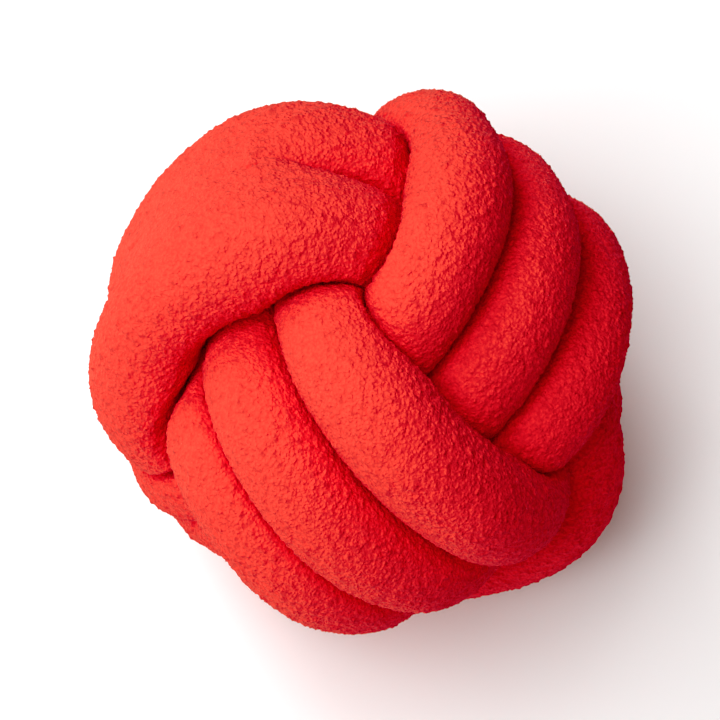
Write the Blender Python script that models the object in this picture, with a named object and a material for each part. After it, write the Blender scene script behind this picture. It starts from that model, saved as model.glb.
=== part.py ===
# A knot cushion: one long stuffed tube of looped red cloth, tied as a ball.
#
# The tube makes three bands that cross each other like the loops of a ball knot. Each band has
# three turns side by side. It lies on top where it crosses one of the other bands, and
# underneath where it crosses the third. Between the bands, and at both of its ends, the tube
# is tucked inside the ball. Where it meets another stretch of itself, the soft tube is pressed
# flat against it, and the ball has a small flat spot to stand on.

from collections import namedtuple

import bpy
import numpy as np
from mathutils import Euler

MM = 0.001

# The tube, in millimetres.
PLAY = 2.5  # between two stretches that press on each other
CORNER_SWELL = 7.0  # how far a turn bulges where it rounds an edge of the ball
ROUNDNESS = 10.0  # a higher number gives flatter pressed sides and tighter corners
CORE_RADIUS = 95.0  # nearer than this to the middle, the tube swells to fill the core
CORE_FADE = 20.0
SMOOTHING_LENGTH = 12.0
OWN_LENGTH = 30.0  # the tube isn't pressed by what lies this near along it
THINNEST = 2.0  # the least reach of the tube to a side, however hard it is pressed
FAR = 1000.0  # the reach where nothing is in the way

# The mesh of the tube.
ANGLE_STEP = 2.0  # of a band's middle line, in degrees
CURVE_STEPS = 40  # points on each stretch of a hidden way
SIDES = 12
RING_SPACING = 12.6
FINE_SPACING = 5.0

# How the knot is turned in the frame, and how high its middle is above the flat spot.
BALL_TURN_DEG = (46.8, -30.1, 28.1)
BALL_HEIGHT = 136.0

# The three bands. A band turns about its axis. It crosses the neighbour below it at the two
# ends of its over direction, and dives under the other one at the ends of its under direction.
Band = namedtuple("Band", "name axis over under tube_radius")
BANDS = (
    Band("lower", 0, 2, 1, 31.0),
    Band("upper", 2, 1, 0, 33.0),
    Band("right", 1, 0, 2, 29.0),
)

# The crossings of a band, in the order in which each of its three turns goes through them.
# Angles are in degrees, from the under direction to the over direction. Shifts are along the
# band's axis, and heights are from the ball's middle, both in millimetres. Each column has the
# values of the first, second and third turn.
Crossing = namedtuple("Crossing", "angles shifts heights")
CROSSINGS = {
    "lower": (
        Crossing((-180, -180, -180), (-38, 0, 38), (64, 74, 64)),
        Crossing((-90, -90, -90), (-48, 0, 48), (114, 114, 106)),
        Crossing((0, 0, 0), (-38, -4, 36), (60, 72, 60)),
        Crossing((89, 87, 83), (-49, -12, 49), (119, 128, 134)),
    ),
    "upper": (
        Crossing((-180, -180, -180), (-38, 0, 41), (64, 74, 61)),
        Crossing((-85, -84, -78), (-45, -2, 35), (119, 125, 123)),
        Crossing((0, 0, 0), (-40, -2, 29), (62, 70, 63)),
        Crossing((82, 72, 90), (-46, -16, 47), (106, 131, 136)),
    ),
    "right": (
        Crossing((-180, -180, -180), (-38, 0, 33), (64, 74, 59)),
        Crossing((-100, -101, -95), (-51, 0, 34), (111, 108, 104)),
        Crossing((0, 0, 0), (-44, -4, 39), (64, 74, 62)),
        Crossing((82, 82, 82), (-41, 14, 69), (123, 128, 126)),
    ),
}

# The hidden way from the lower band to the upper one, in millimetres. The way from the upper
# band to the right one is the same, with the axes changed round, and so are the two ends.
START_ANGLE = 50.0  # a band is joined this far after its first crossing
END_ANGLE = 30.0  # and left this far before its last one
INNER_POINTS = ((8, -20, 30), (-18, -28, 0))
LEAD = 20.0  # how strongly the tube keeps its direction as it dives in
END_SHARE = 0.65  # where each end of the tube stops between the two inner points

CLOTH_COLOUR = (0.72, 0.03, 0.025, 1.0)
CLOTH_ROUGHNESS = 0.95


def clear_scene():
    for thing in list(bpy.data.objects):
        bpy.data.objects.remove(thing, do_unlink=True)


def hermite(start, start_slope, end, end_slope, u):
    """The cubic that leaves start and reaches end with the given slopes, for u from 0 to 1."""
    return (
        (2 * u**3 - 3 * u**2 + 1) * start
        + (u**3 - 2 * u**2 + u) * start_slope
        + (3 * u**2 - 2 * u**3) * end
        + (u**3 - u**2) * end_slope
    )


def stops_of(band):
    """Angle, shift and height at each crossing of the three turns, in the order of travel."""
    first = CROSSINGS[band.name][0]
    stops = []
    for turn in range(3):
        for crossing in CROSSINGS[band.name]:
            shift = crossing.shifts[turn]
            height = crossing.heights[turn]
            if crossing is first and turn > 0:
                # The step sideways to the next turn is taken here, where it is hidden.
                shift = (crossing.shifts[turn - 1] + shift) / 2
                height = (crossing.heights[turn - 1] + height) / 2
            stops.append((360 * turn + crossing.angles[turn], shift, height))
    stops.append((360 * 3 + first.angles[2], first.shifts[2], first.heights[2]))
    return np.array(stops, float)


def band_line(band):
    """The middle line of a band's three turns, as points in the ball's axes."""
    angles, shifts, heights = stops_of(band).T
    at = np.arange(angles[0] + START_ANGLE, angles[-1] - END_ANGLE + 1, ANGLE_STEP)
    stop = np.clip(np.searchsorted(angles, at, side="right") - 1, 0, len(angles) - 2)
    gap = angles[stop + 1] - angles[stop]
    u = (at - angles[stop]) / gap
    slopes = np.gradient(shifts, angles)
    slopes[[0, -1]] = 0
    shift = hermite(shifts[stop], gap * slopes[stop], shifts[stop + 1], gap * slopes[stop + 1], u)
    ease = (1 - np.cos(np.pi * u)) / 2
    height = heights[stop] * (1 - ease) + heights[stop + 1] * ease
    height += CORNER_SWELL * np.sin(np.pi * u) ** 2
    points = np.zeros((len(at), 3))
    points[:, band.axis] = shift
    points[:, band.over] = height * np.sin(np.radians(at))
    points[:, band.under] = height * np.cos(np.radians(at))
    return points


def curve_through(points, first_slope, last_slope):
    """A smooth curve through the points, with the given slopes at its ends."""
    points = np.array(points, float)
    slopes = np.empty_like(points)
    slopes[0] = first_slope
    slopes[-1] = last_slope
    slopes[1:-1] = (points[2:] - points[:-2]) / 2
    u = np.linspace(0, 1, CURVE_STEPS, endpoint=False)[:, None]
    pieces = []
    for i in range(len(points) - 1):
        pieces.append(hermite(points[i], slopes[i], points[i + 1], slopes[i + 1], u))
    pieces.append(points[-1:])
    return np.concatenate(pieces)


def unit(vector):
    return vector / np.linalg.norm(vector, axis=-1, keepdims=True)


def tube_route():
    """The middle line of the whole tube, with the tube's free radius at each point."""
    lines = [band_line(band) for band in BANDS]
    lead_in = [LEAD * unit(line[1] - line[0]) for line in lines]
    lead_out = [LEAD * unit(line[-1] - line[-2]) for line in lines]
    inner = [np.array(INNER_POINTS, float)]
    for _ in range(2):
        inner.append(inner[-1][:, [1, 2, 0]])
    step = inner[2][1] - inner[2][0]
    start = inner[2][1] - (1 - END_SHARE) * step
    end = inner[2][0] + (1 - END_SHARE) * step
    stretches = [
        curve_through([start, inner[2][1], lines[0][0]], (1 - END_SHARE) * step, lead_in[0])[:-1],
        lines[0],
        curve_through([lines[0][-1], *inner[0], lines[1][0]], lead_out[0], lead_in[1])[1:-1],
        lines[1],
        curve_through([lines[1][-1], *inner[1], lines[2][0]], lead_out[1], lead_in[2])[1:-1],
        lines[2],
        curve_through([lines[2][-1], inner[2][0], end], lead_out[2], (1 - END_SHARE) * step)[1:],
    ]
    of_band = (0, 0, 0, 1, 1, 2, 2)
    radii = [np.full(len(s), BANDS[k].tube_radius) for s, k in zip(stretches, of_band)]
    return np.concatenate(stretches), np.concatenate(radii)


def spaced(points, values, spacing):
    """The line again with evenly spaced points, and the values carried along."""
    along = np.append(0, np.cumsum(np.linalg.norm(np.diff(points, axis=0), axis=1)))
    at = np.linspace(0, along[-1], round(along[-1] / spacing) + 1)
    columns = [np.interp(at, along, column) for column in points.T]
    return np.stack(columns, 1), np.interp(at, along, values)


def smoothed(values, passes):
    """Each value moved towards the mean of its neighbours, as often as asked."""
    values = values.copy()
    for _ in range(passes):
        values[1:-1] = (values[:-2] + 2 * values[1:-1] + values[2:]) / 4
    return values


def carried_directions(line):
    """The line's direction, and a sideways one carried along it without twisting."""
    forward = unit(np.gradient(line, axis=0))
    side = np.zeros_like(line)
    side[0] = unit(np.cross(forward[0], (0.3, 0.5, 0.8)))
    for i in range(1, len(line)):
        side[i] = unit(side[i - 1] - np.dot(side[i - 1], forward[i]) * forward[i])
    return forward, side


def pressed_radii(rings, outward, fine, ring_at, fine_at, free):
    """How far each ring reaches in each direction.

    A ring around c stops halfway to any other point q of the line, less half of the play: with
    D = q - c, n the direction and g the play, at r = (|D|^2 - g^2) / (2 (n.D + g)).
    The smallest of these, the free radius and the floor decides, with rounded corners.
    """
    reach = np.full(outward.shape[:2], FAR)
    for i in range(len(rings)):
        away = np.abs(fine_at - ring_at[i]) > OWN_LENGTH
        to_point = fine[away] - rings[i]
        share = outward[i] @ to_point.T + PLAY
        halfway = (np.sum(to_point**2, axis=1) - PLAY**2) / (2 * np.maximum(share, 1e-6))
        reach[i] = np.where(share > 1e-6, halfway, FAR).min(axis=1)
    reach = np.maximum(reach, THINNEST)
    soft = (free**-ROUNDNESS + reach**-ROUNDNESS) ** (-1 / ROUNDNESS)
    drop = np.maximum(-outward[:, :, 2], 1e-6)
    return np.minimum(soft, (rings[:, None, 2] + BALL_HEIGHT) / drop)


def knot_rings():
    """The corner points of every ring of the tube, in millimetres, around the ball's middle."""
    line, radius = spaced(*tube_route(), FINE_SPACING)
    passes = round((SMOOTHING_LENGTH / FINE_SPACING) ** 2)
    line = smoothed(line, passes)
    radius = smoothed(radius, 3 * passes)
    turn = np.array(Euler(np.radians(BALL_TURN_DEG)).to_matrix())
    line = line @ turn.T
    rings, free = spaced(line, radius, RING_SPACING)
    ring_at = np.linspace(0, 1, len(rings))
    fine_at = np.linspace(0, 1, len(line))
    length = FINE_SPACING * (len(line) - 1)
    forward, side = carried_directions(rings)
    around = np.linspace(0, 2 * np.pi, SIDES, endpoint=False)[None, :, None]
    outward = np.cos(around) * side[:, None] + np.sin(around) * np.cross(forward, side)[:, None]
    inward = np.clip(-np.sum(outward * unit(rings)[:, None], axis=2), 0, 1)
    deep = np.clip((CORE_RADIUS - np.linalg.norm(rings, axis=1)) / CORE_FADE, 0, 1)
    free = free[:, None] * (1 + deep[:, None] * inward**2)
    reach = pressed_radii(rings, outward, line, ring_at * length, fine_at * length, free)
    return rings[:, None] + outward * reach[:, :, None]


def add_tube(name, rings):
    """A closed mesh of four-sided faces between the rings, with a flat cap on each end."""
    count, sides = rings.shape[:2]
    points = rings.reshape(-1, 3)
    points = points + (0, 0, BALL_HEIGHT)
    middle = (points.min(axis=0) + points.max(axis=0)) / 2
    points[:, :2] -= middle[:2]
    faces = []
    for i in range(count - 1):
        for j in range(sides):
            k = (j + 1) % sides
            faces.append((i * sides + j, i * sides + k, (i + 1) * sides + k, (i + 1) * sides + j))
    faces.append(tuple(range(sides))[::-1])
    faces.append(tuple(range((count - 1) * sides, count * sides)))
    mesh = bpy.data.meshes.new(name)
    mesh.from_pydata((points * MM).tolist(), [], faces)
    mesh.validate()
    mesh.shade_smooth()
    tube = bpy.data.objects.new(name, mesh)
    bpy.context.scene.collection.objects.link(tube)
    return tube


def cloth():
    material = bpy.data.materials.new("red_looped_cloth")
    material.use_nodes = True
    shader = material.node_tree.nodes["Principled BSDF"]
    shader.inputs["Base Color"].default_value = CLOTH_COLOUR
    shader.inputs["Roughness"].default_value = CLOTH_ROUGHNESS
    shader.inputs["Metallic"].default_value = 0.0
    return material


clear_scene()
knot_tube = add_tube("knot_tube", knot_rings())
knot_tube.data.materials.append(cloth())
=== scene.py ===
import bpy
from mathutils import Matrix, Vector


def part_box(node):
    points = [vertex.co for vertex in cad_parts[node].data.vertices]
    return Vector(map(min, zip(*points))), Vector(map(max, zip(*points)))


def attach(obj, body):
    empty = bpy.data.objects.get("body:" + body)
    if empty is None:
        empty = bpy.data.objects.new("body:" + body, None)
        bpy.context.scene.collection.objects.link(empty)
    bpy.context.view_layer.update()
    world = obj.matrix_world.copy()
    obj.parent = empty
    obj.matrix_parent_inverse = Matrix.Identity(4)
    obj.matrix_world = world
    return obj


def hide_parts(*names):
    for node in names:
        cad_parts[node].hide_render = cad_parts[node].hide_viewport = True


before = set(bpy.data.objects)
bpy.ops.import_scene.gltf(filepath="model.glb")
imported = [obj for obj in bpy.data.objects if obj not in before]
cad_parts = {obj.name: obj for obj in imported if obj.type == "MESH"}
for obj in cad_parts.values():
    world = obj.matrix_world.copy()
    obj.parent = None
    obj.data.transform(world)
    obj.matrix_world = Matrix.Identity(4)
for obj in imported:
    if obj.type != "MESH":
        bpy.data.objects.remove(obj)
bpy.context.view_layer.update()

# A ball tied from one long stuffed tube of red bouclé. The tube follows the same route as its
# solid, with a fine surface of cloth loops, and lies on a pale floor with its best side up.

import math

import bpy
import numpy as np
from mathutils import Euler, Vector

mm = 0.001


# The knot's route, in millimetres around the ball's middle, as its solid has it.

knot = {
    "turnDeg": (46.8, -30.1, 28.1),  # how the knot is turned in the frame
    "height": 136.0,  # of the ball's middle above the floor
    "cornerSwell": 7.0,  # how far a turn bulges where it rounds an edge of the ball
    "startAngle": 50.0,  # a band is joined this far after its first crossing
    "endAngle": 30.0,  # and left this far before its last one
    "innerPoints": ((8, -20, 30), (-18, -28, 0)),  # the hidden way from band to band
    "lead": 20.0,  # how strongly the tube keeps its direction as it dives in
    "endShare": 0.65,  # where each end stops between the two inner points
    "pointsBetween": 40,  # on each cubic of the hidden way
    "smoothing": 12.0,
}

# Two turns of a band that are stuffed into one broad swell on a stretch, where no crease shows
# between them.
joined = {
    "band": "upper",
    "turns": (1, 2),
    "fade": (50, 70, 100, 125),  # the angles where that starts, is full, is full still, and ends
    "overlap": (14.0, 6.0),  # how far each turn passes into the other one
    "nearest": 0.85,  # the most that a direction counts as pointing at the other turn
    "sharper": 3.0,  # how much tighter the pressed corners are
}

# Where a turn is stuffed fuller or slacker than its band: for each band and turn, the angles and
# the millimetres that its radius gains there, before they are smoothed along the tube.
swells = {
    "lower": {
        0: ((68, 76, 84, 116, 127, 138), (0, -5, 0, 0, -7, 0)),
    },
    "upper": {
        1: ((46, 54, 63, 72, 84, 98, 104, 112), (0, -2, 6.5, 3.5, 0, -3.5, -2, 0)),
        2: (
            (-112, -101, -90, -80, -66, -59, -52, -44, 50, 62, 72, 84, 98, 110, 119, 130, 138),
            (0, -9, 2, 3.5, 3.5, 0, -6, 0, 0, 2.5, 3.5, 0, -3.5, -5, 0, 5, 0),
        ),
    },
    "right": {
        0: ((60, 70, 79, 88, 98, 108, 120, 132), (0, -3, -3.5, 0, 0.5, 5, 4.5, 0)),
        1: ((-72, -64, -54, 92, 99, 105, 113, 124, 136), (0, -3.5, 0, 0, -4, 0, 5.5, 4, 0)),
        2: ((-84, -76, -66, -55, 90, 98, 106, 116, 126, 138), (0, -2, 8, 0, 0, -6, 0, 5.5, 2, 0)),
    },
}

# Each band turns about its axis, crosses its neighbour at the ends of its over direction and
# dives under the other one at the ends of its under direction. A crossing has the angles, the
# shifts along the axis and the heights of the first, second and third turn.
bands = {
    "lower": {
        "axis": 0, "over": 2, "under": 1, "radius": 31.0,
        "crossings": (
            ((-180, -180, -180), (-38, 0, 38), (64, 74, 64)),
            ((-90, -90, -90), (-48, 0, 48), (114, 114, 106)),
            ((0, 0, 0), (-38, -4, 36), (60, 72, 60)),
            ((89, 87, 83), (-49, -12, 49), (119, 128, 134)),
        ),
    },
    "upper": {
        "axis": 2, "over": 1, "under": 0, "radius": 33.0,
        "crossings": (
            ((-180, -180, -180), (-38, 0, 41), (64, 74, 61)),
            ((-85, -84, -78), (-45, -2, 35), (119, 125, 123)),
            ((0, 0, 0), (-40, -2, 29), (62, 70, 63)),
            ((82, 72, 90), (-46, -16, 47), (106, 131, 136)),
        ),
    },
    "right": {
        "axis": 1, "over": 0, "under": 2, "radius": 29.0,
        "crossings": (
            ((-180, -180, -180), (-38, 0, 33), (64, 74, 59)),
            ((-100, -101, -95), (-51, 0, 34), (111, 108, 104)),
            ((0, 0, 0), (-44, -4, 39), (64, 74, 62)),
            ((82, 82, 82), (-41, 14, 69), (123, 128, 126)),
        ),
    },
}


# Each vector divided by its length.
def unit(vectors):
    return vectors / np.linalg.norm(vectors, axis=-1, keepdims=True)


# The cubic that leaves start and reaches end with the given slopes, for u from 0 to 1.
def hermite(start, startSlope, end, endSlope, u):
    return (
        (2 * u**3 - 3 * u**2 + 1) * start
        + (u**3 - 2 * u**2 + u) * startSlope
        + (3 * u**2 - 2 * u**3) * end
        + (u**3 - u**2) * endSlope
    )


# A band's middle line: shift along the axis by a cubic through the crossings, height eased with
# a cosine between them plus a swell at each corner, turned about the axis by the angle.
def bandLine(band):
    first = band["crossings"][0]
    stops = []
    for turn in range(3):
        for crossing in band["crossings"]:
            angles, shifts, heights = crossing
            before = turn - 1 if crossing is first and turn > 0 else turn
            shift = (shifts[before] + shifts[turn]) / 2
            height = (heights[before] + heights[turn]) / 2
            stops.append((360 * turn + angles[turn], shift, height))
    stops.append((360 * 3 + first[0][2], first[1][2], first[2][2]))
    angles, shifts, heights = np.array(stops, float).T
    at = np.arange(angles[0] + knot["startAngle"], angles[-1] - knot["endAngle"] + 1, 1.0)
    stop = np.clip(np.searchsorted(angles, at, side="right") - 1, 0, len(angles) - 2)
    gap = angles[stop + 1] - angles[stop]
    u = (at - angles[stop]) / gap
    slopes = np.gradient(shifts, angles)
    slopes[[0, -1]] = 0
    shift = hermite(shifts[stop], gap * slopes[stop], shifts[stop + 1], gap * slopes[stop + 1], u)
    ease = (1 - np.cos(np.pi * u)) / 2
    height = heights[stop] * (1 - ease) + heights[stop + 1] * ease
    height += knot["cornerSwell"] * np.sin(np.pi * u) ** 2
    points = np.zeros((len(at), 3))
    points[:, band["axis"]] = shift
    points[:, band["over"]] = height * np.sin(np.radians(at))
    points[:, band["under"]] = height * np.cos(np.radians(at))
    turns = np.clip((at + 180) // 360, 0, 2)
    return points, turns, at - 360 * turns


# At each point of a band's middle line, the direction to the same angle of the turn that it is
# joined with, times a weight that is 1 on the joined stretch and 0 away from it.
def joinedSides(points, turns, angles):
    sides = np.zeros_like(points)
    weight = np.interp(angles, joined["fade"], (0, 1, 1, 0))[:, None]
    for turn, step in zip(joined["turns"], (360, -360)):
        here = np.flatnonzero(turns == turn)
        there = np.clip(here + step, 0, len(points) - 1)
        sides[here] = weight[here] * unit(points[there] - points[here])
    return sides


# A smooth curve through a few points, cubic by cubic, with the given slopes at its ends.
def curveThrough(points, firstSlope, lastSlope):
    points = np.array(points, float)
    slopes = np.concatenate([[firstSlope], (points[2:] - points[:-2]) / 2, [lastSlope]])
    u = np.linspace(0, 1, knot["pointsBetween"], endpoint=False)[:, None]
    ends = zip(points[:-1], slopes[:-1], points[1:], slopes[1:])
    runs = [hermite(*pair, u) for pair in ends]
    return np.concatenate([*runs, points[-1:]])


# The whole tube's middle line, with its free radius, the number of the turn and the weighted
# direction to a joined turn at each point.
def tubeRoute():
    lines, turns, angles = zip(*[bandLine(band) for band in bands.values()])
    leadIn = [knot["lead"] * unit(line[1] - line[0]) for line in lines]
    leadOut = [knot["lead"] * unit(line[-1] - line[-2]) for line in lines]
    inner = [np.array(knot["innerPoints"], float)]
    for _ in range(2):
        inner.append(inner[-1][:, [1, 2, 0]])
    step = inner[2][1] - inner[2][0]
    slope = (1 - knot["endShare"]) * step
    runs = [
        curveThrough([inner[2][1] - slope, inner[2][1], lines[0][0]], slope, leadIn[0])[:-1],
        lines[0],
        curveThrough([lines[0][-1], *inner[0], lines[1][0]], leadOut[0], leadIn[1])[1:-1],
        lines[1],
        curveThrough([lines[1][-1], *inner[1], lines[2][0]], leadOut[1], leadIn[2])[1:-1],
        lines[2],
        curveThrough([lines[2][-1], inner[2][0], inner[2][0] + slope], leadOut[2], slope)[1:],
    ]
    radii = [band["radius"] for band in bands.values()]
    radius = [np.full(len(run), radii[k]) for run, k in zip(runs, (0, 0, 0, 1, 1, 2, 2))]
    number = [
        np.zeros(len(runs[0])), turns[0],
        np.full(len(runs[2]), 2), turns[1] + 3,
        np.full(len(runs[4]), 5), turns[2] + 6,
        np.full(len(runs[6]), 8),
    ]
    sides = [np.zeros_like(run) for run in runs]
    k = list(bands).index(joined["band"])
    sides[2 * k + 1] = joinedSides(lines[k], turns[k], angles[k])
    for k, swell in enumerate(swells.values()):
        for turn, (places, gains) in swell.items():
            radius[2 * k + 1] += (turns[k] == turn) * np.interp(angles[k], places, gains)
    return np.column_stack([np.concatenate(part) for part in (runs, radius, number, sides)])


# The rows again at the given distances along the line that their first three columns make.
def rowsAt(rows, at):
    along = lengthAlong(rows)
    return np.column_stack([np.interp(at, along, column) for column in rows.T])


# The distance from the start to each row: the sum of the steps between the rows' places.
def lengthAlong(rows):
    return np.append(0, np.cumsum(np.linalg.norm(np.diff(rows[:, :3], axis=0), axis=1)))


# Each row moved towards the mean of its neighbours, as often as asked.
def smoothed(rows, passes):
    rows = rows.copy()
    for _ in range(passes):
        rows[1:-1] = (rows[:-2] + 2 * rows[1:-1] + rows[2:]) / 4
    return rows


# The tube's surface.

tube = {
    "play": 1.2,  # between two stretches that press on each other, in millimetres as all here
    "roundness": 10.0,  # a higher number gives flatter pressed sides and tighter corners
    "coreRadius": 95.0,  # nearer than this to the middle, the tube swells to fill the core
    "coreFade": 20.0,
    "ownLength": 30.0,  # the tube isn't pressed by what lies this near along it
    "thinnest": 2.0,
    "lineStep": 2.0,  # of the middle line
    "pressStep": 4.0,  # of the line that presses
    "ringStep": 1.0,  # of rings where the tube shows
    "hiddenStep": 8.0,  # and where it is hidden
    "showsFrom": 90.0,  # a ring's middle is this far from the ball's where the tube shows
    "showsFade": 8.0,
    "around": 104,  # points around a ring, most of them on the outer side
    "outerSideDeg": 82.0,
    "outerFadeDeg": 25.0,
    "innerShare": 0.16,  # how dense the points are on the inner side, against the outer side's
    "upSmoothing": 60,  # passes over the direction that points away from the ball's middle
    "unevenness": 0.9,  # how far the filling bulges or sinks
    "unevenSize": 38.0,
    "lowest": 0.3,  # above the floor
}

loops = {
    "size": 3.0,  # of the larger cloth loops
    "height": 1.5,
    "smallSize": 2.1,
    "smallHeight": 0.95,
    "edge": 0.9,  # the squared distance from its middle where a loop ends, in its own size
    "level": 0.55,  # the part of the height that lies under the tube's own surface
    "pileShares": (0.7, 0.3),  # of the larger and the smaller loops in the pile
    "smallShift": 500.0,  # keeps the small loops' places apart from the larger ones'
}


# Distances along the tube of its rings: a step where the tube shows, a longer one where it is
# hidden, eased between by the middle's distance from the ball's middle.
def ringPlaces(rows):
    beyond = np.linalg.norm(rows[:, :3], axis=1) - tube["showsFrom"]
    shows = np.clip(beyond / tube["showsFade"] + 1, 0, 1)
    density = shows / tube["ringStep"] + (1 - shows) / tube["hiddenStep"]
    along = lengthAlong(rows)
    counted = np.append(0, np.cumsum(np.diff(along) * (density[1:] + density[:-1]) / 2))
    return np.interp(np.linspace(0, counted[-1], round(counted[-1]) + 1), counted, along)


# The angles around a ring: evenly spaced by a weight that is 1 on the outer side, falls off
# past its edge, and is small on the inner side.
def ringAngles():
    angles = np.radians(np.linspace(-180, 180, 721))
    past = (np.degrees(np.abs(angles)) - tube["outerSideDeg"]) / tube["outerFadeDeg"]
    past = np.clip(past, 0, 1)
    weight = 1 - (1 - tube["innerShare"]) * past * past * (3 - 2 * past)
    counted = np.append(0, np.cumsum((weight[1:] + weight[:-1]) / 2))
    return np.interp(np.arange(tube["around"]) / tube["around"], counted / counted[-1], angles)


# Directions at each ring: forward along the line, and up, away from the ball's middle.
def ringDirections(rings, line):
    forward = unit(np.gradient(rings, axis=0))
    away = unit(line)
    ahead = unit(np.gradient(line, axis=0))
    away = away - np.sum(away * ahead, axis=1, keepdims=True) * ahead
    away = smoothed(away, tube["upSmoothing"])
    up = np.column_stack([np.interp(lengthAlong(rings), lengthAlong(line), c) for c in away.T])
    up = unit(up - np.sum(up * forward, axis=1, keepdims=True) * forward)
    return forward, up


# How far the tube reaches. A ring around c stops halfway to any other point q of the line, less
# half of the play: with D = q - c, n the direction and g the play, at
# r = (|D|^2 - g^2) / (2 (n.D + g)). The smallest of these and the free radius are blended: the
# sum of both to the power of minus the roundness, brought back by the inverse power.
def pressedReach(rings, outward, free, roundness, play, ringAt, line, lineAt):
    reach = np.full(outward.shape[:2], 1000.0)
    block = 48  # rings at a time, to spare memory
    for i in range(0, len(rings), block):
        part = slice(i, i + block)
        toPoint = line[None] - rings[part, None]
        g = play[part, :, None]
        own = np.abs(lineAt[None] - ringAt[part, None]) < tube["ownLength"]
        share = np.maximum(outward[part] @ toPoint.transpose(0, 2, 1) + g, 1e-6)
        halfway = (np.sum(toPoint**2, axis=2)[:, None] - g * g) / (2 * share)
        halfway[np.broadcast_to(own[:, None], halfway.shape)] = 1000.0
        halfway[share <= 1e-6] = 1000.0
        reach[part] = halfway.min(axis=2)
    reach = np.maximum(reach, tube["thinnest"])
    return (free**-roundness + reach**-roundness) ** (-1 / roundness)


# Whole-number noise: each cell of space gets three fixed fractions from its three numbers.
def cellFractions(cells):
    x, y, z = (cells[:, k].astype(np.int64) & 0xFFFFFFFF for k in range(3))
    seed = (x * 73856093) ^ (y * 19349663) ^ (z * 83492791)
    fractions = []
    for k in range(3):
        mixed = (seed + k * 668265263) & 0xFFFFFFFF
        mixed = ((mixed ^ (mixed >> 15)) * 2246822519) & 0xFFFFFFFF
        mixed = ((mixed ^ (mixed >> 13)) * 3266489917) & 0xFFFFFFFF
        fractions.append(((mixed ^ (mixed >> 16)) & 0xFFFFFF) / 0x1000000)
    return np.stack(fractions, axis=1)


# Round lumps: 1 at a scattered point of each cell, falling with the square of the distance to
# the nearest such point, so that neighbouring lumps meet in creases.
def lumps(points, size):
    cell = np.floor(points / size)
    nearest = np.full(len(points), 9.0)
    for offset in np.ndindex(3, 3, 3):
        corner = cell + np.array(offset) - 1
        spot = corner + cellFractions(corner)
        nearest = np.minimum(nearest, np.sum((points / size - spot) ** 2, axis=1))
    return 1 - np.clip(nearest / loops["edge"], 0, 1)


# Soft unevenness: a random value at each corner of a grid of cells, eased between them.
def softNoise(points, size):
    cell = np.floor(points / size)
    f = points / size - cell
    f = f * f * (3 - 2 * f)
    total = np.zeros(len(points))
    for corner in np.ndindex(2, 2, 2):
        weight = np.prod(np.where(corner, f, 1 - f), axis=1)
        total += weight * cellFractions(cell + np.array(corner))[:, 0]
    return 2 * total - 1


# The grid of points of the tube's surface, the pile's height there from 0 to 1, and the number
# of the turn at each ring: each ring's middle plus a direction around it times the pressed reach,
# with the filling's unevenness and the cloth loops along the normal. Towards a joined turn, the
# free radius is divided by the sine of the angle from it, which makes the tube's outer side level
# there, its edge is sharper, and the play turns into an overlap.
def tubeSurface():
    rows = tubeRoute()
    length = lengthAlong(rows)[-1]
    rows = rowsAt(rows, np.linspace(0, length, round(length / tube["lineStep"]) + 1))
    passes = round((knot["smoothing"] / tube["lineStep"]) ** 2)
    rows[:, :3] = smoothed(rows[:, :3], passes)
    rows[:, 3] = smoothed(rows[:, 3], 3 * passes)
    turn = np.array(Euler(np.radians(knot["turnDeg"])).to_matrix())
    rows[:, :3] = rows[:, :3] @ turn.T
    rows[:, 5:] = rows[:, 5:] @ turn.T
    ringAt = ringPlaces(rows)
    rings = rowsAt(rows, ringAt)
    forward, up = ringDirections(rings[:, :3], rows[:, :3])
    angles = ringAngles()[:, None]
    outward = np.cos(angles) * up[:, None] + np.sin(angles) * np.cross(forward, up)[:, None]
    middles = rings[:, :3]
    inward = np.clip(-np.sum(outward * unit(middles)[:, None], axis=2), 0, 1)
    deep = np.clip((tube["coreRadius"] - np.linalg.norm(middles, axis=1)) / tube["coreFade"], 0, 1)
    free = rings[:, 3, None] * (1 + deep[:, None] * inward**2)
    beside = np.clip(np.sum(outward * rings[:, None, 5:], axis=2), 0, joined["nearest"])
    free = free / np.sqrt(1 - beside**2)
    roundness = tube["roundness"] * (1 + joined["sharper"] * beside)
    lineAt = lengthAlong(rows)
    stride = round(tube["pressStep"] / tube["lineStep"])
    line, lineAt = rows[::stride, :3], lineAt[::stride]
    firstJoined = 3 * list(bands).index(joined["band"]) + joined["turns"][0]
    overlap = np.interp(rings[:, 4], (firstJoined, firstJoined + 1), joined["overlap"])
    play = tube["play"] - overlap[:, None] * beside
    reach = pressedReach(middles, outward, free, roundness, play, ringAt, line, lineAt)
    skin = middles[:, None] + outward * reach[:, :, None]
    flat = skin.reshape(-1, 3)
    bulge = tube["unevenness"] * softNoise(flat, tube["unevenSize"])
    large = lumps(flat, loops["size"])
    small = lumps(flat + loops["smallShift"], loops["smallSize"])
    largeShare, smallShare = loops["pileShares"]
    pile = (largeShare * large + smallShare * small).reshape(reach.shape)
    raised = bulge + loops["height"] * (large - loops["level"])
    raised += loops["smallHeight"] * (small - loops["level"])
    skin = skin + surfaceNormals(skin) * raised.reshape(reach.shape)[:, :, None]
    skin[:, :, 2] = np.maximum(skin[:, :, 2] + knot["height"], tube["lowest"])
    return skin, pile, np.round(rings[:, 4]).astype(int)


# The outward normal of a closed-around grid: the cross product of its two directions.
def surfaceNormals(grid):
    along = np.gradient(grid, axis=0)
    around = np.roll(grid, -1, axis=1) - np.roll(grid, 1, axis=1)
    return unit(np.cross(along, around))


# Meshes.

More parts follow.
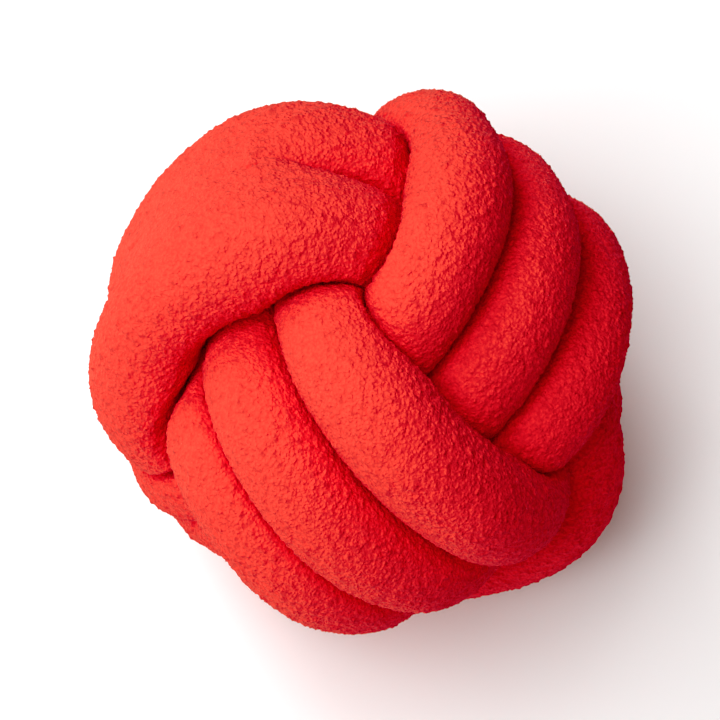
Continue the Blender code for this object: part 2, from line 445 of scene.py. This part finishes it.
# A closed tube from a grid of rings: quads between neighbouring rings, and a fan to a middle
# point at each end.
def addTube(name, grid, pile):
    count, around = grid.shape[:2]
    j = np.arange(around)
    k = (j + 1) % around
    start = np.arange(count - 1)[:, None] * around
    quads = np.stack([start + j, start + around + j, start + around + k, start + k], axis=2)
    first = np.stack([np.full(around, count * around), j, k], axis=1)
    last = np.stack([np.full(around, count * around + 1), k, j], axis=1)
    last[:, 1:] += (count - 1) * around
    points = np.concatenate([grid.reshape(-1, 3), grid[0].mean(0)[None], grid[-1].mean(0)[None]])
    heights = np.concatenate([pile.reshape(-1), [0.0, 0.0]])
    corners = np.concatenate([quads.reshape(-1), first.reshape(-1), last.reshape(-1)])
    sizes = np.concatenate([np.full((count - 1) * around, 4), np.full(2 * around, 3)])
    mesh = bpy.data.meshes.new(name)
    mesh.vertices.add(len(points))
    mesh.vertices.foreach_set("co", (points * mm).astype(np.float32).reshape(-1))
    mesh.loops.add(len(corners))
    mesh.loops.foreach_set("vertex_index", corners.astype(np.int32))
    mesh.polygons.add(len(sizes))
    mesh.polygons.foreach_set("loop_start", (np.cumsum(sizes) - sizes).astype(np.int32))
    pileHeight = mesh.attributes.new("pileHeight", "FLOAT", "POINT")
    pileHeight.data.foreach_set("value", heights.astype(np.float32))
    mesh.update(calc_edges=True)
    mesh.shade_smooth()
    piece = bpy.data.objects.new(name, mesh)
    bpy.context.scene.collection.objects.link(piece)
    return piece


# Materials.

cloth = {
    "loopTop": (0.83, 0.064, 0.042, 1.0),  # the tops of the loops
    # The next colour is painted shade: the cloth's red darkened between the loops, where the gaps
    # fall in shade.
    "loopGapShade": (0.52, 0.040, 0.026, 1.0),  # between the loops
    "roughness": 0.92,
    "specular": 0.15,
    "sheen": 0.12,
    "sheenRoughness": 0.5,
    "sheenTint": (1.0, 0.25, 0.18, 1.0),
    "loopSize": 0.0018,  # in metres
    "curl": (0.9, 0.4),  # how often the loops bend and how far, in their own sizes
    "domes": (0.9, 0.7),  # how fine the round loops are, and their share of the height
    "domeEdge": (0.1, 0.75),  # from where to where a loop falls off, in its own size
    "domeBlend": 0.5,  # how softly loops meet
    "fuzz": (1.4, 0.4),  # the same as for the loops, for the finer threads between them
    "fuzzRange": (0.3, 0.7),
    # The next range sets where that painted shade between the loops gives way to the cloth's red on
    # the tops.
    "gapShadeRange": (0.4, 1.4),  # of height and pile together, from the gaps to the tops
    "bump": 1.0,
    "bumpDistance": 0.0007,
}


# A group that gives the small loops of bouclé. Places in the object are shifted a little by
# noise, so that its round cells become short bent curls. Height is the sum of a dome on each
# cell, by the eased distance from its middle, and of a finer noise. The shade output runs from
# the gaps to the tops, with the pile's own height in it, and places painted shade in the gaps
# between the loops.
def makeBoucleGrain():
    group = bpy.data.node_groups.new("boucleGrain", "ShaderNodeTree")
    face = group.interface
    for name, value in (("Loop Size", cloth["loopSize"]), ("Pile", 0.5)):
        socket = face.new_socket(name=name, in_out="INPUT", socket_type="NodeSocketFloat")
        socket.default_value = value
    for name in ("Height", "Depth"):
        face.new_socket(name=name, in_out="OUTPUT", socket_type="NodeSocketFloat")
    nodes, links = group.nodes, group.links
    given = nodes.new("NodeGroupInput")
    result = nodes.new("NodeGroupOutput")
    place = nodes.new("ShaderNodeTexCoord")
    inLoops = nodes.new("ShaderNodeVectorMath")
    inLoops.operation = "SCALE"
    perMetre = nodes.new("ShaderNodeMath")
    perMetre.operation = "DIVIDE"
    perMetre.inputs[0].default_value = 1.0
    links.new(given.outputs["Loop Size"], perMetre.inputs[1])
    links.new(perMetre.outputs[0], inLoops.inputs["Scale"])
    links.new(place.outputs["Object"], inLoops.inputs[0])
    wander = nodes.new("ShaderNodeTexNoise")
    wander.inputs["Scale"].default_value = cloth["curl"][0]
    wander.inputs["Detail"].default_value = 1.0
    links.new(inLoops.outputs[0], wander.inputs["Vector"])
    bent = nodes.new("ShaderNodeVectorMath")
    bent.operation = "MULTIPLY_ADD"
    bent.inputs[1].default_value = (cloth["curl"][1],) * 3
    links.new(wander.outputs["Color"], bent.inputs[0])
    links.new(inLoops.outputs[0], bent.inputs[2])
    cells = nodes.new("ShaderNodeTexVoronoi")
    cells.feature = "SMOOTH_F1"
    cells.inputs["Smoothness"].default_value = cloth["domeBlend"]
    cells.inputs["Scale"].default_value = cloth["domes"][0]
    links.new(bent.outputs[0], cells.inputs["Vector"])
    dome = nodes.new("ShaderNodeMapRange")
    dome.interpolation_type = "SMOOTHSTEP"
    dome.inputs["From Min"].default_value = cloth["domeEdge"][0]
    dome.inputs["From Max"].default_value = cloth["domeEdge"][1]
    dome.inputs["To Min"].default_value = cloth["domes"][1]
    dome.inputs["To Max"].default_value = 0.0
    links.new(cells.outputs["Distance"], dome.inputs["Value"])
    threads = nodes.new("ShaderNodeTexNoise")
    threads.inputs["Scale"].default_value = cloth["fuzz"][0]
    threads.inputs["Detail"].default_value = 1.0
    links.new(bent.outputs[0], threads.inputs["Vector"])
    fuzz = nodes.new("ShaderNodeMapRange")
    fuzz.inputs["From Min"].default_value = cloth["fuzzRange"][0]
    fuzz.inputs["From Max"].default_value = cloth["fuzzRange"][1]
    fuzz.inputs["To Max"].default_value = cloth["fuzz"][1]
    links.new(threads.outputs["Fac"], fuzz.inputs["Value"])
    height = nodes.new("ShaderNodeMath")
    links.new(dome.outputs["Result"], height.inputs[0])
    links.new(fuzz.outputs["Result"], height.inputs[1])
    links.new(height.outputs[0], result.inputs["Height"])
    withPile = nodes.new("ShaderNodeMath")
    links.new(height.outputs[0], withPile.inputs[0])
    links.new(given.outputs["Pile"], withPile.inputs[1])
    # Painted shade: a map from the gaps to the tops, by height and pile, that darkens the colour
    # between the loops.
    gapShadeMap = nodes.new("ShaderNodeMapRange")
    gapShadeMap.inputs["From Min"].default_value = cloth["gapShadeRange"][0]
    gapShadeMap.inputs["From Max"].default_value = cloth["gapShadeRange"][1]
    links.new(withPile.outputs[0], gapShadeMap.inputs["Value"])
    links.new(gapShadeMap.outputs["Result"], result.inputs["Depth"])
    return group


# The red cloth: its colour runs from a painted shade between the loops to its own red on their
# tops by the grain's shade output, and the grain's height gives the bump.
def makeCloth(boucleGrain):
    material = bpy.data.materials.new("redBoucle")
    material.use_nodes = True
    nodes, links = material.node_tree.nodes, material.node_tree.links
    shader = nodes["Principled BSDF"]
    shader.inputs["Roughness"].default_value = cloth["roughness"]
    shader.inputs["Specular IOR Level"].default_value = cloth["specular"]
    shader.inputs["Sheen Weight"].default_value = cloth["sheen"]
    shader.inputs["Sheen Roughness"].default_value = cloth["sheenRoughness"]
    shader.inputs["Sheen Tint"].default_value = cloth["sheenTint"]
    pile = nodes.new("ShaderNodeAttribute")
    pile.attribute_name = "pileHeight"
    grain = nodes.new("ShaderNodeGroup")
    grain.node_tree = boucleGrain
    grain.inputs["Loop Size"].default_value = cloth["loopSize"]
    links.new(pile.outputs["Fac"], grain.inputs["Pile"])
    # Painted shade: the colour mixes from a dark red between the loops to the cloth's own red on
    # their tops.
    colour = nodes.new("ShaderNodeMix")
    colour.data_type = "RGBA"
    colour.inputs["A"].default_value = cloth["loopGapShade"]
    colour.inputs["B"].default_value = cloth["loopTop"]
    links.new(grain.outputs["Depth"], colour.inputs["Factor"])
    links.new(colour.outputs["Result"], shader.inputs["Base Color"])
    bump = nodes.new("ShaderNodeBump")
    bump.inputs["Strength"].default_value = cloth["bump"]
    bump.inputs["Distance"].default_value = cloth["bumpDistance"]
    links.new(grain.outputs["Height"], bump.inputs["Height"])
    links.new(bump.outputs["Normal"], shader.inputs["Normal"])
    return material


# The stage.

studio = {
    "floorColour": (0.97, 0.97, 0.97, 1.0),
    "floorRoughness": 0.8,
    "floorSize": 12.0,
    "worldColour": (1.0, 1.0, 1.0, 1.0),
    "worldStrength": 0.02,
    "elevation": 76.0,  # of the camera above the horizon, in degrees
    "lens": 250.0,  # in millimetres, so the camera stands well back
    "frameWidth": 0.3945,  # of the picture at the ball's middle, in metres
    "aim": (-0.00055, 0.0033),  # of the picture's middle from the ball's, to the right and up
    # how the picture darkens weak green and blue: points on the curves of channels 1 and 2
    "toneCurves": {
        1: (
            (0.02, 0.0006), (0.033, 0.0008), (0.047, 0.0033), (0.056, 0.0077),
            (0.061, 0.0132), (0.067, 0.0235), (0.075, 0.0425), (0.088, 0.064), (0.13, 0.115),
        ),
        2: (
            (0.018, 0.0025), (0.027, 0.0077), (0.0387, 0.0185),
            (0.0477, 0.0283), (0.063, 0.0455), (0.1, 0.073),
        ),
    },
}

# Each lamp's direction from the ball's middle, to the right, up and towards the camera, with its
# distance and size in metres.
lamps = {
    "keyLamp": {"towards": (-0.27, 0.15, 0.95), "distance": 2.1, "size": 1.5, "power": 45.0},
    "topLamp": {"towards": (-0.43, 0.80, 0.42), "distance": 2.1, "size": 1.1, "power": 26.0},
    "leftLamp": {"towards": (-0.80, -0.43, 0.42), "distance": 2.1, "size": 1.1, "power": 19.0},
    "fillLamp": {"towards": (0.56, -0.56, 0.62), "distance": 2.1, "size": 1.0, "power": 5.0},
}


# The camera's right, its up and the way towards it, for a camera that looks down from the front.
def cameraDirections():
    lift = math.radians(studio["elevation"])
    right = Vector((1, 0, 0))
    up = Vector((0, math.sin(lift), math.cos(lift)))
    towards = Vector((0, -math.cos(lift), math.sin(lift)))
    return right, up, towards


# The camera stands so far back that the frame's width is right at the ball's middle.
def addCamera(middle):
    right, up, towards = cameraDirections()
    data = bpy.data.cameras.new("camera")
    data.lens = studio["lens"]
    distance = studio["frameWidth"] * data.lens / data.sensor_width
    camera = bpy.data.objects.new("camera", data)
    camera.location = middle + right * studio["aim"][0] + up * studio["aim"][1] + towards * distance
    camera.rotation_euler = (math.radians(90 - studio["elevation"]), 0, 0)
    bpy.context.scene.collection.objects.link(camera)
    bpy.context.scene.camera = camera


# Square soft lamps that face the ball's middle.
def addLamps(middle):
    right, up, towards = cameraDirections()
    for name, lamp in lamps.items():
        data = bpy.data.lights.new(name, "AREA")
        data.size = lamp["size"]
        data.energy = lamp["power"]
        x, y, z = lamp["towards"]
        away = (right * x + up * y + towards * z).normalized() * lamp["distance"]
        light = bpy.data.objects.new(name, data)
        light.location = middle + away
        light.rotation_euler = away.to_track_quat("Z", "Y").to_euler()
        bpy.context.scene.collection.objects.link(light)


def addFloor():
    half = studio["floorSize"] / 2
    corners = [(-half, -half, 0), (half, -half, 0), (half, half, 0), (-half, half, 0)]
    mesh = bpy.data.meshes.new("floor")
    mesh.from_pydata(corners, [], [(0, 1, 2, 3)])
    floor = bpy.data.objects.new("floor", mesh)
    bpy.context.scene.collection.objects.link(floor)
    material = bpy.data.materials.new("paleFloor")
    material.use_nodes = True
    shader = material.node_tree.nodes["Principled BSDF"]
    shader.inputs["Base Color"].default_value = studio["floorColour"]
    shader.inputs["Roughness"].default_value = studio["floorRoughness"]
    mesh.materials.append(material)


# A dim even light from all around, and the view's tone curves.
def addWorld():
    world = bpy.data.worlds.new("softRoom")
    world.use_nodes = True
    background = world.node_tree.nodes["Background"]
    background.inputs["Color"].default_value = studio["worldColour"]
    background.inputs["Strength"].default_value = studio["worldStrength"]
    bpy.context.scene.world = world
    view = bpy.context.scene.view_settings
    view.view_transform = "Standard"
    view.use_curve_mapping = True
    for channel, points in studio["toneCurves"].items():
        curve = view.curve_mapping.curves[channel]
        for point in points:
            curve.points.new(*point).handle_type = "VECTOR"
    view.curve_mapping.update()


# Putting it together.

grid, pile, turnNumber = tubeSurface()
print("tube surface worked out:", grid.shape[0], "rings of", grid.shape[1])

# The ball's middle goes above the middle of its solid, with one piece for each turn.
lowest, highest = (np.array(corner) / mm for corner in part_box("knot_tube"))
shift = (lowest + highest - grid.min(axis=(0, 1)) - grid.max(axis=(0, 1))) / 2
grid[:, :, :2] += shift[:2]
ballMiddle = Vector((shift[0], shift[1], knot["height"])) * mm

redBoucle = makeCloth(makeBoucleGrain())
bandNames = list(bands)
for number in range(9):
    rows = np.flatnonzero(turnNumber == number)
    part = slice(rows[0], min(rows[-1] + 2, len(grid)))
    piece = addTube(f"{bandNames[number // 3]}BandTurn{number % 3 + 1}", grid[part], pile[part])
    piece.data.materials.append(redBoucle)
    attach(piece, "root")
    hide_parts("knot_tube")
    print(piece.name, "has", len(piece.data.polygons), "faces")

addCamera(ballMiddle)
addLamps(ballMiddle)
addFloor()
addWorld()
print("stage is set")
